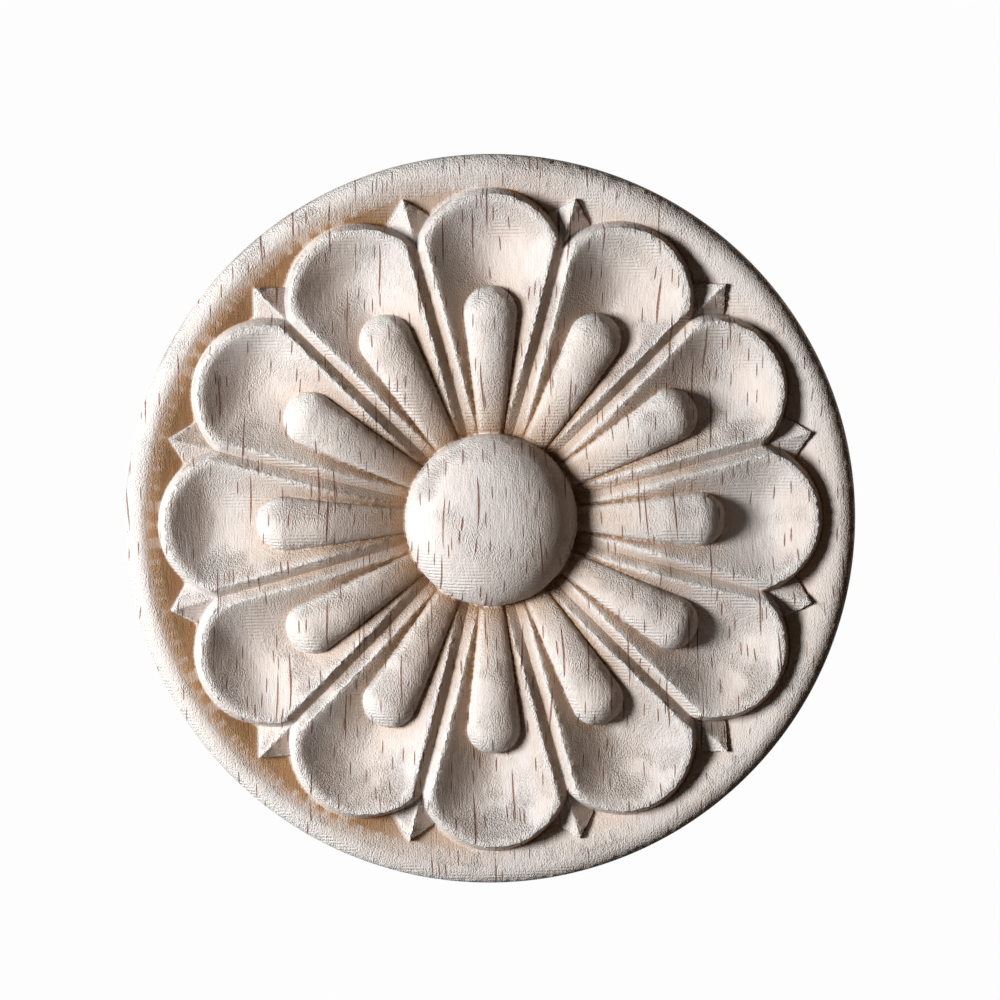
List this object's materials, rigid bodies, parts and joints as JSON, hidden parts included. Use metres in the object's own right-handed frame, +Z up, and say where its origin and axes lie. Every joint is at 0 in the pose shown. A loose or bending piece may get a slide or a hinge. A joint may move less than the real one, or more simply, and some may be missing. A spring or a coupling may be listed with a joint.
{
  "type": "carved wood rosette applique",
  "caption": "Round carved wood rosette: dished petals with raised rays round a domed button, pointed sepals between them, in a rounded rim with a flat back.",
  "frame": {"origin": "centre of the flat back face", "axes": "+Y out of the back, into the surface it is fixed to; the carving faces -Y; +Z up along the grain"},
  "size_m": [0.08, 0.012, 0.08],
  "materials": {
    "wood": "bare carved rubberwood, unsanded"
  },
  "bodies": {
    "root": {"rosette": "wood"}
  },
  "joints": []
}
